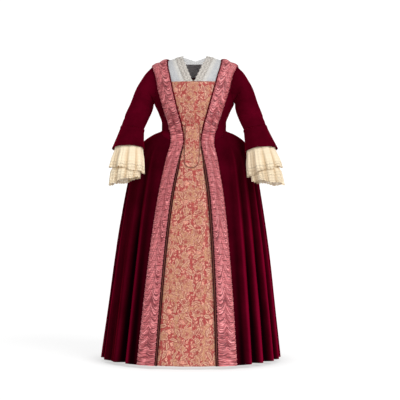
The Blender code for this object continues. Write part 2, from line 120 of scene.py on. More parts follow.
def ramp(value, low, high, to_low=0.0, to_high=1.0):
    """Smooth step from one value to another as a wire goes from low to high."""
    return Wire(put(value.tree, "ShaderNodeMapRange", {0: value, 1: low, 2: high, 3: to_low, 4: to_high},
                    interpolation_type="SMOOTHSTEP"))


def blend(share, one, other):
    """Colour that goes from one to the other as the share goes from 0 to 1."""
    return Wire(put(share.tree, "ShaderNodeMix", {0: share, 6: one, 7: other}, data_type="RGBA"), 2)


def linear(red, green, blue):
    """Colour of a material from its red, green and blue as they look on a screen, 0 to 255."""
    share = np.array([red, green, blue]) / 255.0
    return tuple(np.where(share > 0.04045, ((share + 0.055) / 1.055) ** 2.4, share / 12.92)) + (1.0,)


def grey(value):
    """Even grey of a strength, 0 to 1."""
    return (value, value, value, 1.0)


def new_material(name, **constants):
    """Empty material with a Principled BSDF, whose even values are set on its own sockets."""
    mat = bpy.data.materials.new(name)
    mat.use_nodes = True
    shader = mat.node_tree.nodes["Principled BSDF"]
    for key, value in constants.items():
        shader.inputs[key.replace("_", " ").title().replace("Ior", "IOR")].default_value = value
    return mat, mat.node_tree, shader


floor_mat, tree, shader = new_material("pale_floor", roughness=0.9, emission_strength=0.80)
speckle = Wire(put(tree, "ShaderNodeTexNoise", {"Scale": 3.0}))
plug(shader.inputs["Base Color"], blend(speckle, grey(0.26), grey(0.30)))
# Painted shadow: the floor's glow dims close to the dress, a painted contact shadow under the hem.
near = Wire(put(tree, "ShaderNodeAmbientOcclusion", {"Distance": 0.16}), "AO")
plug(shader.inputs["Emission Color"], blend(ramp(near, 0.35, 1.0), grey(0.72), grey(1.0)))
floor_mesh.materials.append(floor_mat)

world = bpy.data.worlds.new("studio")
world.use_nodes = True
bpy.context.scene.world = world
air = world.node_tree.nodes["Background"]
air.inputs["Color"].default_value = grey(1.0)
seen = Wire(put(world.node_tree, "ShaderNodeLightPath"), "Is Camera Ray")
plug(air.inputs["Strength"], ramp(seen, 0.0, 1.0, 0.42, 1.1))

# name, strength, softness in degrees, tilt from overhead, turn about the vertical
LIGHTS = (
    ("key", 2.1, 35.0, 56.0, 46.0),
    ("fill", 0.6, 80.0, 66.0, -40.0),
)
for name, strength, soft, tilt, turn in LIGHTS:
    sun = bpy.data.objects.new(name, bpy.data.lights.new(name, "SUN"))
    sun.data.energy = strength
    sun.data.angle = np.radians(soft)
    sun.rotation_euler = (np.radians(tilt), 0.0, np.radians(turn))
    bpy.context.scene.collection.objects.link(sun)


# The shape that the clothes take on the wearer: level sections of two half ellipses from shoulder to hem,
# wide at the padded hips and rounded over at the shoulders. Every cloth below lies on it.
FORM = np.array([
    # z, half width, depth in front, depth behind
    (0.030, 0.226, 0.080, 0.090),
    (-0.050, 0.220, 0.086, 0.096),
    (-0.100, 0.204, 0.100, 0.104),
    (-0.160, 0.192, 0.121, 0.109),
    (-0.200, 0.183, 0.130, 0.106),
    (-0.250, 0.160, 0.123, 0.098),
    (-0.290, 0.1470, 0.111, 0.090),
    (-0.327, 0.1465, 0.104, 0.089),
    (-0.345, 0.184, 0.107, 0.125),
    (-0.370, 0.223, 0.116, 0.168),
    (-0.400, 0.251, 0.128, 0.205),
    (-0.460, 0.281, 0.150, 0.245),
    (-0.590, 0.307, 0.184, 0.288),
    (-0.800, 0.341, 0.236, 0.338),
    (-1.100, 0.381, 0.294, 0.402),
    (-1.372, 0.414, 0.345, 0.455),
])
RIDGE = np.array([
    # distance from the centre, height of the shoulder ridge
    (0.000, 0.026), (0.055, 0.020), (0.130, -0.001), (0.206, -0.036),
])
LEAN_TOP, LEAN_HEM = 0.009, -0.010
HEM_Z = -1.372
SHOULDER_Y = 0.012
ROUND_FROM = -0.100
WAIST_SIDE, WAIST_POINT = -0.327, -0.380
# Gaps: at the waist seam, between layers of cloth, and where front and back meet on the shoulder ridge.
WAIST_GAP = 0.0001
LAYER = 0.0009
RIDGE_GAP = 0.0002


def smooth(table, at, column):
    """Smooth curve through a table's rows that never overshoots: its slopes are harmonic means."""
    order = np.argsort(table[:, 0])
    x, y = table[order, 0], table[order, column]
    h, d = np.diff(x), np.diff(y) / np.diff(x)
    slope = np.zeros_like(x)
    slope[0], slope[-1] = d[0], d[-1]
    same = d[:-1] * d[1:] > 0
    w1, w2 = 2 * h[1:] + h[:-1], h[1:] + 2 * h[:-1]
    mean = (w1 + w2) / (w1 / np.where(same, d[:-1], 1.0) + w2 / np.where(same, d[1:], 1.0))
    slope[1:-1] = np.where(same, mean, 0.0)
    at = np.clip(np.asarray(at, float), x[0], x[-1])
    i = np.clip(np.searchsorted(x, at) - 1, 0, len(h) - 1)
    t = (at - x[i]) / h[i]
    return ((1 + 2 * t) * (1 - t) ** 2 * y[i] + t * (1 - t) ** 2 * h[i] * slope[i]
            + t * t * (3 - 2 * t) * y[i + 1] + t * t * (t - 1) * h[i] * slope[i + 1])


def ease(a, b, at):
    """Goes from 0 at a to 1 at b with level ends: 3t^2 - 2t^3."""
    t = np.clip((at - a) / (b - a), 0.0, 1.0)
    return t * t * (3 - 2 * t)


def lean(z):
    """Sideways place of the centre line at a height."""
    return LEAN_TOP + (LEAN_HEM - LEAN_TOP) * np.clip(z / HEM_Z, 0.0, 1.0)


def form(angle, z, inset=0.0):
    """Point of the form: x = width sin(angle), y = -depth cos(angle), rounded over to the shoulder ridge."""
    angle, z = np.broadcast_arrays(np.asarray(angle, float), np.asarray(z, float))
    x = (smooth(FORM, z, 1) - inset) * np.sin(angle)
    top = smooth(RIDGE, np.abs(x), 1)
    t = np.clip((z - ROUND_FROM) / (top - ROUND_FROM), 0.0, 0.9999)
    rounding = np.sqrt(1 - t * t)
    half = np.where(np.cos(angle) > 0, smooth(FORM, z, 2), smooth(FORM, z, 3)) - inset
    y = SHOULDER_Y * (1 - rounding) - half * np.cos(angle) * rounding
    return np.stack([x + lean(z), y, z], -1)


def angle_of(x, z):
    """Angle at which the form reaches a distance from the centre line."""
    return np.arcsin(np.clip(x / smooth(FORM, z, 1), -1.0, 1.0))


def across(angle, z):
    """Distance of a place on the form from its centre line."""
    return smooth(FORM, z, 1) * np.sin(angle)


def waist_seam(angle):
    """Height of the waist seam: level at the sides and back, dipping to a point in front."""
    return WAIST_SIDE + (WAIST_POINT - WAIST_SIDE) * (1 - ease(np.radians(12), np.radians(72), np.abs(angle)))


def ridge(x):
    """Height of the shoulder ridge at a distance from the centre line, where cloth meets over it."""
    return smooth(RIDGE, np.abs(x), 1) - RIDGE_GAP


def ridge_top(angle, z):
    """Height of the shoulder ridge above a place near it."""
    return ridge(across(angle, z))


def level(value):
    """A height or an angle that is the same all along."""
    return lambda at, *_: value + 0.0 * at


def lay_out(low, top, edge_a, edge_b, rows_low, rows_high, cols, crowd=1.0):
    """Angles and heights of a grid between two edges and two heights: even steps, arcs over the shoulder."""
    v = np.arange(rows_low + rows_high + 1.0)[:, None]
    u = np.linspace(0.0, 1.0, cols)[None, :]
    z = np.full((v.size, cols), -0.2)
    for _ in range(30):
        angle = edge_a(z) + (edge_b(z) - edge_a(z)) * u
        bottom, head = low(angle, z), top(angle, z)
        start = np.maximum(ROUND_FROM, bottom) if rows_high else head
        arc = np.clip((v - rows_low) / max(rows_high, 1), 0.0, 1.0)
        z = bottom + (start - bottom) * np.clip(v / max(rows_low, 1), 0.0, 1.0) ** crowd
        z = z + (head - start) * np.sin(arc * np.pi / 2)
    return angle, z


def normals(points, ring=False):
    """Unit normals of a grid: cross product of its two directions, turned away from its middle line."""
    if ring:
        wide = np.roll(points, -1, 1) - np.roll(points, 1, 1)
        middle = points.mean(1, keepdims=True)
    else:
        wide = np.gradient(points, axis=1)
        middle = np.stack([lean(points[..., 2]), 0 * points[..., 2], points[..., 2] - 0.02], -1)
    n = np.cross(wide, np.gradient(points, axis=0))
    n /= np.maximum(np.linalg.norm(n, axis=-1, keepdims=True), 1e-12)
    return n * np.sign(np.sum(n * (points - middle)))


def run(points, axis):
    """Length along the cloth from its first row or column to each point."""
    step = np.linalg.norm(np.diff(points, axis=axis), axis=-1)
    return np.concatenate([np.zeros_like(np.take(step, [0], axis)), np.cumsum(step, axis)], axis)


def cloth(name, points, uv, mat, thickness, marks=(), ring=False):
    """Sheet of cloth over a grid of points, with its thickness on the inner side.

    uv is the place on the flat cloth in metres, and marks are named values that its material reads.
    """
    rows, cols = points.shape[:2]
    index = np.arange(rows * cols).reshape(rows, cols)
    if ring:
        index = np.concatenate([index, index[:, :1]], 1)
    quads = np.stack([index[:-1, :-1], index[:-1, 1:], index[1:, 1:], index[1:, :-1]], -1).reshape(-1, 4)
    n = normals(points, ring)
    wide = np.roll(points, -1, 1) - points if ring else np.gradient(points, axis=1)
    if np.sum(np.cross(wide, np.gradient(points, axis=0)) * n) < 0:
        quads = quads[:, ::-1]
    mesh = bpy.data.meshes.new(name)
    mesh.from_pydata(points.reshape(-1, 3).tolist(), [], quads.tolist())
    flat = uv.reshape(-1, 2)[quads.ravel()]
    if ring:
        width = np.ptp(uv[..., 0])
        u = flat[:, 0].reshape(-1, 4)
        u += np.where(u.max(1, keepdims=True) - u > width / 2, width * cols / (cols - 1), 0.0)
    mesh.uv_layers.new(name="cloth").data.foreach_set("uv", flat.ravel().astype(np.float32))
    for key, values in dict(marks).items():
        layer = mesh.attributes.new(key, "FLOAT", "POINT")
        layer.data.foreach_set("value", np.broadcast_to(values, (rows, cols)).ravel().astype(np.float32))
    mesh.shade_smooth()
    mesh.materials.append(mat)
    obj = bpy.data.objects.new(name, mesh)
    bpy.context.scene.collection.objects.link(obj)
    wall = obj.modifiers.new("thickness", "SOLIDIFY")
    wall.thickness = thickness
    wall.offset = -1.0
    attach(obj, "root")
    return obj


def creases(x, z, rows):
    """Soft troughs and ridges from rows of x0, z0, x1, z1, width and height. Each line fades at its ends."""
    total = np.zeros(np.broadcast(x, z).shape)
    for x0, z0, x1, z1, width, height in rows:
        length2 = (x1 - x0) ** 2 + (z1 - z0) ** 2
        t = ((x - x0) * (x1 - x0) + (z - z0) * (z1 - z0)) / length2
        near = np.clip(t, 0.0, 1.0)
        away2 = (x - x0 - near * (x1 - x0)) ** 2 + (z - z0 - near * (z1 - z0)) ** 2
        total += height * np.exp(-away2 / width ** 2) * ease(-0.15, 0.35, t) * (1 - ease(0.65, 1.15, t))
    return total


# Velvet of the gown: silk pile in deep burgundy, 1.8 mm thick with its backing. Where the pile is brushed
# the other way it looks lighter, and its sheen glows a little at the edge of each fold. On the overskirt,
# painted shade darkens the fold valleys and a painted highlight lightens the fold crests.
VELVET = 0.0018
OVER_1 = LAYER
OVER_2 = OVER_1 + VELVET + 0.8 * LAYER


def new_group(name, inputs, outputs):
    """Empty node group with named number inputs, given as name and value, and named outputs."""
    made = bpy.data.node_groups.new(name, "ShaderNodeTree")
    for key, value in inputs:
        made.interface.new_socket(key, in_out="INPUT", socket_type="NodeSocketFloat").default_value = value
    for key in outputs:
        made.interface.new_socket(key, in_out="OUTPUT", socket_type="NodeSocketFloat")
    entry = put(made, "NodeGroupInput")
    return made, [Wire(entry, key) for key, _ in inputs], put(made, "NodeGroupOutput").inputs


def use(tree, made, **values):
    """Wires of a node group placed in a material, with its own values."""
    node = put(tree, "ShaderNodeGroup", {k.title(): v for k, v in values.items()}, node_tree=made)
    return [Wire(node, k) for k in range(len(node.outputs))]


def in_space(tree):
    """Place in the object's own axes."""
    return Wire(put(tree, "ShaderNodeTexCoord"), "Object")


def on_cloth(tree):
    """Place on the flat cloth, in metres."""
    return Wire(put(tree, "ShaderNodeUVMap", uv_map="cloth"))


def parts(vector):
    """The x, y and z of a vector."""
    node = put(vector.tree, "ShaderNodeSeparateXYZ", {0: vector})
    return [Wire(node, k) for k in range(3)]


def mark(tree, name):
    """Value that a cloth's mesh carries under a name."""
    return Wire(put(tree, "ShaderNodeAttribute", attribute_name=name), "Fac")


def over(base, *layers):
    """Colour with others laid over it in turn, each given as its share and its colour."""
    for share, colour in layers:
        base = blend(share, base, colour)
    return base


def bump(shader, height, distance, strength):
    """Height over the cloth, in shares of a distance in metres, as a bump on the shader's normal."""
    made = put(height.tree, "ShaderNodeBump", {"Height": height, "Distance": distance, "Strength": strength})
    plug(shader.inputs["Normal"], Wire(made))


# Uneven dye and handling: broad soft patches over small ones, 0 to 1.
patches, (size, contrast), result = new_group("uneven_dye", (("Size", 0.1), ("Contrast", 1.0)), ("Tone",))
cloud = Wire(put(patches, "ShaderNodeTexNoise",
                 {"Vector": in_space(patches), "Scale": 1.0 / size, "Detail": 4.0, "Roughness": 0.6}))
plug(result["Tone"], maths("MULTIPLY_ADD", cloud - 0.5, contrast, 0.5, clamp=True))

# Threads: a fine over-and-under weave on the flat cloth, as a height from 0 to 1.
weave, (pitch, slant), result = new_group("thread_weave", (("Pitch", 0.0008), ("Slant", 0.0)), ("Height",))
x, y, _ = parts(on_cloth(weave))
turns = 2 * np.pi / pitch
plug(result["Height"], maths("SINE", (x + y * slant) * turns) * maths("SINE", y * turns) * 0.5 + 0.5)

velvet, tree, shader = new_material("velvet", roughness=0.9, sheen_weight=0.9, sheen_roughness=0.3,
                                    sheen_tint=linear(176, 8, 44), specular_ior_level=0.0)
brushed = use(tree, patches, size=0.11, contrast=2.2)[0]
fine = use(tree, patches, size=0.012, contrast=1.6)[0]
pile = over(blend(brushed, linear(62, 1, 14), linear(92, 3, 26)),
            (fine * 0.35, linear(48, 1, 10)),
            # Painted shade in the overskirt's fold valleys, beside the robings and on its left side.
            (mark(tree, "valley"), linear(14, 0, 3)),
            # Painted highlight along the crests of the overskirt's folds.
            (mark(tree, "crest") * 0.7, linear(132, 8, 44)))
plug(shader.inputs["Base Color"], pile)
hair = Wire(put(tree, "ShaderNodeTexNoise", {"Vector": in_space(tree), "Scale": 1400.0, "Detail": 1.0}))
bump(shader, hair, 0.0004, 0.5)

# Bodice of the gown: two velvet fronts, open over the stomacher, and two backs with a seam down the centre.
# Each is cut with one curved piece a quarter and sewn at the shoulder and side.
ROBING = np.array([
    # z, inner edge, outer edge
    (0.000, 0.128, 0.198),
    (-0.030, 0.124, 0.194),
    (-0.080, 0.111, 0.175),
    (-0.150, 0.094, 0.159),
    (-0.255, 0.066, 0.126),
    (-0.318, 0.049, 0.106),
    (-0.383, 0.041, 0.098),
    (-0.450, 0.055, 0.113),
    (-0.530, 0.072, 0.129),
    (-0.647, 0.090, 0.149),
    (-0.984, 0.118, 0.187),
    (-1.372, 0.139, 0.219),
])
ARMHOLE = np.array([
    # z, distance from the centre
    (0.000, 0.204),
    (-0.035, 0.200),
    (-0.080, 0.180),
    (-0.130, 0.171),
    (-0.170, 0.173),
    (-0.199, 0.1808),
])
UNDERARM_Z = -0.200
NECK_BACK, NECK_SIDE = -0.012, 0.003
# Soft drag lines from under the arm and towards the waist.
BODICE_CREASES = (
    # x0, z0, x1, z1, width, height
    (0.178, -0.190, 0.130, -0.235, 0.008, 0.0014),
    (0.172, -0.215, 0.120, -0.275, 0.007, -0.0012),
    (0.162, -0.245, 0.118, -0.300, 0.006, 0.0010),
    (0.150, -0.285, 0.112, -0.318, 0.005, -0.0010),
    (0.168, -0.140, 0.150, -0.200, 0.006, -0.0010),
)


def robing_angle(column, shift=0.0):
    """Angle of an edge of the robing as a function of height."""
    return lambda z: angle_of(smooth(ROBING, z, column) + shift, z)


def side_edge(z):
    """Side seam below the arm. Above it, the armhole with a narrow turning under the sleeve's head."""
    hole = angle_of(smooth(ARMHOLE, z, 1) + 0.0025 * ease(-0.198, -0.190, z) - 0.0006, z)
    return np.where(z < UNDERARM_Z, np.radians(90.0) - 0.001, hole)


def neckline(x):
    """Height of the bodice's back neckline at a distance from the centre."""
    return NECK_BACK + (NECK_SIDE - NECK_BACK) * ease(0.050, 0.135, np.abs(x))


def raise_up(points, height, level_rows=(), ring=False, seam_cols=()):
    """Points moved out along the form's normals: level at the rows named, straight back at the seams."""
    n = normals(points, ring)
    n[list(level_rows), :, 2] = 0.0
    n[:, list(seam_cols), 0] = 0.0
    n /= np.linalg.norm(n, axis=-1, keepdims=True)
    return points + n * (height + np.zeros(points.shape[:2]))[..., None]


def flat_place(points, from_col=0):
    """Place on the flat cloth: length along each row from a column, and along each column."""
    wide, tall = run(points, 1), run(points, 0)
    return np.stack([wide - wide[:, from_col:from_col + 1], tall], -1)


for side, label in ((-1.0, "left"), (1.0, "right")):
    angle, z = lay_out(lambda a, z: waist_seam(a) + WAIST_GAP, ridge_top, robing_angle(1, -0.005), side_edge,
                       90, 26, 60, crowd=1.35)
    outside = ease(0.0, 0.02, across(angle, z) - smooth(ROBING, z, 2))
    relief = creases(across(angle, z), z, BODICE_CREASES) * outside
    points = raise_up(form(side * angle, z), OVER_1 + VELVET + relief, level_rows=(0,))
    front = cloth(f"velvet_front_{label}", points, flat_place(points), velvet, VELVET, {"valley": 0.0})
    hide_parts(f"bodice_front_{label}")

    angle, z = lay_out(level(WAIST_SIDE + WAIST_GAP),
                       lambda a, z: np.minimum(ridge_top(a, z), neckline(across(a, z))),
                       level(0.0015), side_edge, 70, 26, 60)
    relief = creases(across(angle, z), z, BODICE_CREASES)
    points = raise_up(form(side * (np.pi - angle), z), OVER_1 + VELVET + relief, level_rows=(0,),
                      seam_cols=(0,))
    back = cloth(f"velvet_back_{label}", points, flat_place(points), velvet, VELVET, {"valley": 0.0})
    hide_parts(f"bodice_back_{label}")

# Sleeves: each one is a tube of velvet with a seam on the inside of the arm, eased into the armhole and
# bent a little forward, with a separate flared cuff sewn round its end.
SLEEVE = np.array([
    # outer x, outer z, inner x, inner z, middle y, half depth
    (0.2270, -0.062, 0.1890, -0.198, 0.004, 0.0650),
    (0.2450, -0.090, 0.1905, -0.205, -0.001, 0.0640),
    (0.2690, -0.133, 0.1910, -0.217, -0.008, 0.0610),
    (0.2930, -0.202, 0.1960, -0.240, -0.024, 0.0570),
    (0.3130, -0.252, 0.2100, -0.277, -0.044, 0.0540),
    (0.3280, -0.304, 0.2285, -0.320, -0.066, 0.0525),
])
CUFF = np.array([
    # outer x, outer z, inner x, inner z, middle y, half depth
    (0.3290, -0.3055, 0.2283, -0.3215, -0.0668, 0.0530),
    (0.3455, -0.357, 0.2282, -0.366, -0.092, 0.0600),
    (0.3660, -0.4155, 0.2250, -0.4155, -0.120, 0.0670),
])
CUFF_ARCH = 0.014
SPREAD_RIGHT, SPREAD_LEFT, SPREAD_FROM = 0.135, -0.038, -0.285
DROOP, DROOP_OVER = 0.018, 0.13
SLEEVE_ROWS, SLEEVE_COLS, CUFF_ROWS = 110, 160, 50
# Degrees round the arm that count as one length of the sleeve where a crease is laid.
TURN_SCALE = 200.0
HEAD_TOP, HEAD_LOW = -0.0365, -0.1955
SLEEVE_CREASES = (
    # at each end, turn in degrees from the outside (negative in front) and share of the length; width, height
    (-150.0, 0.10, -95.0, 0.34, 0.030, -0.0030),
    (-140.0, 0.22, -70.0, 0.50, 0.034, 0.0024),
    (-150.0, 0.42, -80.0, 0.60, 0.030, -0.0028),
    (-160.0, 0.62, -60.0, 0.76, 0.028, 0.0026),
    (-150.0, 0.74, -70.0, 0.86, 0.026, -0.0026),
    (-60.0, 0.84, 20.0, 0.92, 0.024, -0.0020),
    (150.0, 0.20, 90.0, 0.45, 0.032, -0.0028),
    (160.0, 0.46, 70.0, 0.64, 0.030, 0.0022),
    (150.0, 0.66, 60.0, 0.80, 0.028, -0.0026),
)


def dense(table, rows):
    """Rows of a table with smooth rows put between them, at even places from its first row to its last."""
    at = np.arange(len(table), dtype=float)
    keyed = np.column_stack([at, table])
    fine = np.linspace(0.0, at[-1], rows)
    return np.column_stack([smooth(keyed, fine, c + 1) for c in range(table.shape[1])])


def tube(rows, side, turn, swell, arch):
    """Rings of a tube: ellipses between an outer and an inner end, swelled, with the front of each raised.

    Below SPREAD_FROM each arm moves out, in or down by its own share, as the photo shows it held.
    """
    outer_x, outer_z, inner_x, inner_z, mid_y, half_y = (rows[:, k:k + 1] for k in range(6))
    u, v = np.cos(turn), np.sin(turn)
    x = (outer_x + inner_x) / 2 + (outer_x - inner_x) / 2 * u * swell
    z = (outer_z + inner_z) / 2 + (outer_z - inner_z) / 2 * u - arch * v
    y = mid_y + half_y * v * swell + 0.0 * z
    below = np.maximum(SPREAD_FROM - z, 0.0)
    x = x + (SPREAD_RIGHT if side > 0 else SPREAD_LEFT) * below
    z = z - DROOP * (side > 0) * (1 - u) / 2 * np.minimum(below / DROOP_OVER, 1.0)
    return np.stack([side * x + lean(z), y, z], -1)


def armhole_ring(side, cols):
    """Ring of the sleeve's head: the armhole's own curve on the form, just outside the bodice."""
    turn = np.arange(cols) * 2 * np.pi / cols
    z = (HEAD_TOP + HEAD_LOW) / 2 + (HEAD_TOP - HEAD_LOW) / 2 * np.cos(turn)
    angle = angle_of(smooth(ARMHOLE, z, 1), z)
    points = form(side * np.where(np.sin(turn) < 0, angle, np.pi - angle), z)
    points[:, 0] += side * (0.0022 + 0.0030 * ((1 - np.cos(turn)) / 2) ** 4)
    return points


turn = (np.arange(SLEEVE_COLS) * 2 * np.pi / SLEEVE_COLS)[None, :]
for side, label in ((-1.0, "left"), (1.0, "right")):
    rings = np.concatenate([armhole_ring(side, SLEEVE_COLS)[None],
                            tube(SLEEVE, side, turn, 1.0, 0.0)])
    keys = np.arange(len(rings), dtype=float)
    steps = np.linspace(0.0, keys[-1], SLEEVE_ROWS)
    table = np.column_stack([keys, rings.reshape(len(rings), -1)])
    points = np.stack([smooth(table, steps, c + 1) for c in range(table.shape[1] - 1)], -1)
    points = points.reshape(len(steps), SLEEVE_COLS, 3)
    along = (steps / keys[-1])[:, None]
    degrees = np.degrees(turn)
    degrees = np.where(degrees > 180.0, degrees - 360.0, degrees) + 0.0 * along
    relief = sum(creases(degrees / TURN_SCALE, along, [(a / TURN_SCALE, b, c / TURN_SCALE, d, w, h)])
                 for a, b, c, d, w, h in SLEEVE_CREASES)
    eased = 0.0012 * np.sin(degrees * 0.42) * (1 - ease(0.0, 0.10, along))
    points = raise_up(points, VELVET + relief * ease(0.0, 0.06, along) * (1 - ease(0.94, 1.0, along)) + eased,
                      ring=True)
    sleeve = cloth(f"velvet_sleeve_{label}", points, flat_place(points), velvet, VELVET, {"valley": 0.0},
                   ring=True)
    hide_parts(f"sleeve_{label}")

    flare = np.linspace(0.0, 1.0, CUFF_ROWS)[:, None]
    points = tube(dense(CUFF, CUFF_ROWS), side, turn, 1.0, CUFF_ARCH * flare)
    relief = flare * (0.0012 * (1 + np.sin(3 * turn + 0.7)) + 0.0008 * (1 + np.sin(7 * turn + 2.0)))
    relief = relief + 0.0022 * np.exp(-((flare - 0.07) / 0.06) ** 2)
    points = raise_up(points, VELVET + relief, ring=True)
    cuff = cloth(f"velvet_cuff_{label}", points, flat_place(points), velvet, VELVET, {"valley": 0.0},
                 ring=True)
    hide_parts(f"cuff_{label}")

# Overskirt: three widths of velvet, open in front, pleated into the waist seam over the padded hips. The
# pleats open into deep uneven folds that run to the hem.
FOLDS_RIGHT = np.array([
    # crest in degrees round the form, depth at the hem of the valley past it
    (43.0, 0.030), (53.5, 0.034), (67.0, 0.034), (79.0, 0.030), (92.0, 0.034), (106.0, 0.030),
    (120.0, 0.036), (135.0, 0.034), (150.0, 0.036), (165.0, 0.030), (180.0, 0.030),
])
FOLDS_LEFT = np.array([
    (41.0, 0.034), (52.0, 0.010), (70.0, 0.036), (82.0, 0.030), (96.0, 0.034), (110.0, 0.032),
    (124.0, 0.034), (138.0, 0.032), (152.0, 0.034), (166.0, 0.030), (180.0, 0.030),
])
FOLD_TOP_Z = -0.400
BACK_SEAM = np.radians(128.0)
BRAID_EDGE = np.array([
    # z, distance from the robing's inner edge to the velvet's edge
    (-0.380, 0.0030),
    (-0.450, 0.0070),
    (-0.530, 0.0130),
    (-1.372, 0.0115),
])
SKIRT_ROWS = 150
# Painted shade: a dark band runs down beside each robing, where the velvet falls back behind it: its place
# and its half width in degrees.
ROBING_SHADE_AT, ROBING_SHADE_HALF = 36.0, 3.2
# Depth of the valley past a crest whose painted highlight is at full strength.
FULL_DEPTH = 0.034


def growth(z):
    """How far the folds have opened at a height: closed under the waist seam, whole at the hem."""
    return np.clip((FOLD_TOP_Z - z) / (FOLD_TOP_Z - HEM_Z), 0.0, 1.0) ** 0.75


def fold_depth(angle, z):
    """Depth of the valleys: valley sin^2(pi s^0.8), s from 0 to 1 from each crest to the next one round."""
    depth = np.zeros_like(z)
    for sign, table in ((1.0, FOLDS_RIGHT), (-1.0, FOLDS_LEFT)):
        place = np.degrees(sign * angle)
        for (crest, valley), (following, _) in zip(table[:-1], table[1:]):
            s = np.clip((place - crest) / (following - crest), 0.0, 1.0)
            depth += valley * np.sin(np.pi * s ** 0.8) ** 2
    return depth


def painted_crest_highlight(angle):
    """Narrow lines of 0 to 1 along the crests of the folds: a painted highlight where the pile catches the
    light.
    """
    total = np.zeros_like(angle)
    for sign, table in ((1.0, FOLDS_RIGHT), (-1.0, FOLDS_LEFT)):
        for crest, valley in table[:-1]:
            total += valley / FULL_DEPTH * np.exp(-((np.degrees(sign * angle) - crest + 0.4) / 1.1) ** 2)
    return total


def signed(angle):
    """Angle round the form turned into one between -180 and 180 degrees."""
    return np.where(angle > np.pi, angle - 2 * np.pi, angle)


def skirt_height(angle):
    """Heights of a skirt's rows, close together over the hip and wide apart below."""
    top = waist_seam(signed(angle)) - WAIST_GAP
    return top + (HEM_Z - top) * np.linspace(0.0, 1.0, SKIRT_ROWS)[:, None] ** 1.3


def opening_angle(z):
    """Angle of the overskirt's front edge."""
    return angle_of(smooth(ROBING, z, 1) - smooth(BRAID_EDGE, z, 1), z)


SEAM_TURN = 0.0009
FRONT_COLS = 150
u = np.linspace(0.0, 1.0, FRONT_COLS)[None, :]
skirts = []
for sign, label in ((1.0, "right"), (-1.0, "left")):
    edge = np.full((SKIRT_ROWS, 1), 0.6)
    for _ in range(8):
        edge = opening_angle(skirt_height(edge))
    skirts.append((label, sign * (edge + (BACK_SEAM - SEAM_TURN - edge) * u)))
skirts.append(("back", BACK_SEAM + SEAM_TURN + (2 * np.pi - 2 * BACK_SEAM - 2 * SEAM_TURN) * u
               + np.zeros((SKIRT_ROWS, 1))))
for label, turned in skirts:
    angle = signed(turned)
    z = skirt_height(turned)
    points = form(angle, z)
    outward = normals(points) * np.array([1.0, 1.0, 0.0])
    outward /= np.linalg.norm(outward, axis=-1, keepdims=True)
    depth = fold_depth(angle, z)
    small = 0.0022 * np.sin(np.degrees(angle) * 0.9 + 3.0 * z) * np.sin(np.degrees(angle) * 0.37 + 8.0 * z)
    free = ease(0.0, 0.05, np.abs(across(angle, z)) - smooth(ROBING, z, 2)) + (np.cos(angle) < 0)
    points = points - outward * (growth(z) * (depth + small * np.clip(free, 0.0, 1.0)))[..., None]
    points = raise_up(points, OVER_1 + VELVET, level_rows=(0, -1))
    # Painted shade on the overskirt: a share everywhere, more on its left side away from the key light, more
    # in the fold valleys and in a band beside each robing.
    painted_shade = 0.30 + 0.12 * (angle < 0) + 1.1 * np.clip(depth / 0.030, 0.0, 1.0) * growth(z)
    shade_by_robing = np.exp(-((np.degrees(np.abs(angle)) - ROBING_SHADE_AT) / ROBING_SHADE_HALF) ** 2)
    painted_shade = painted_shade + 0.75 * shade_by_robing * growth(z)
    # Painted highlight along the fold crests, weaker on the left side.
    painted_highlight = painted_crest_highlight(angle) * growth(z) * (1 - 0.4 * (angle < 0))
    skirt = cloth(f"velvet_skirt_{label}", points, flat_place(points), velvet, VELVET,
                  {"valley": np.clip(painted_shade - painted_highlight, 0.0, 1.0), "crest": np.clip(painted_highlight, 0.0, 1.0)})
    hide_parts(f"overskirt_{label}")

# Braid: a narrow dark woven tape with a rosy cord along it, sewn to the edge of the overskirt's opening.
BRAID = 0.0022
BRAID_ROWS, BRAID_COLS = 300, 9
TWIST_PITCH, CORD_PLACE = 0.0042, 0.0058
braid_mat, tree, shader = new_material("braid", roughness=0.75, specular_ior_level=0.12)
x, y, _ = parts(on_cloth(tree))
twist = maths("SINE", (y + x * 1.4) * (2 * np.pi / TWIST_PITCH))
cord_line = 1.0 - ramp(abs(x - CORD_PLACE), 0.0005, 0.0015)
# Painted shade of the twist: each thread goes lighter on the crest of every twist and darker between.
dark_thread = blend(twist * 0.5 + 0.5, linear(24, 2, 6), linear(50, 10, 14))
rosy_thread = blend(twist * 0.5 + 0.5, linear(104, 48, 42), linear(148, 86, 70))
plug(shader.inputs["Base Color"], blend(cord_line, dark_thread, rosy_thread))
bump(shader, twist * 0.5 + cord_line * 1.5, 0.0006, 0.8)
for side, label in ((-1.0, "left"), (1.0, "right")):
    angle, z = lay_out(level(HEM_Z), level(FOLD_TOP_Z), lambda z: opening_angle(z) + 0.0004,
                       robing_angle(1, -0.0012), BRAID_ROWS, 0, BRAID_COLS)
    cord = np.exp(-((np.linspace(0.0, 1.0, BRAID_COLS)[None, :] - 0.5) / 0.2) ** 2)
    rib = 0.0004 * np.sin(np.arange(BRAID_ROWS + 1)[:, None] * 2.1)
    points = raise_up(form(side * angle, z), OVER_2 + BRAID - 0.0008 + (0.0010 + rib) * cord,
                      level_rows=(0,))
    tape = cloth(f"edge_braid_{label}", points, flat_place(points), braid_mat, 0.0014)
    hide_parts(f"skirt_braid_{label}")

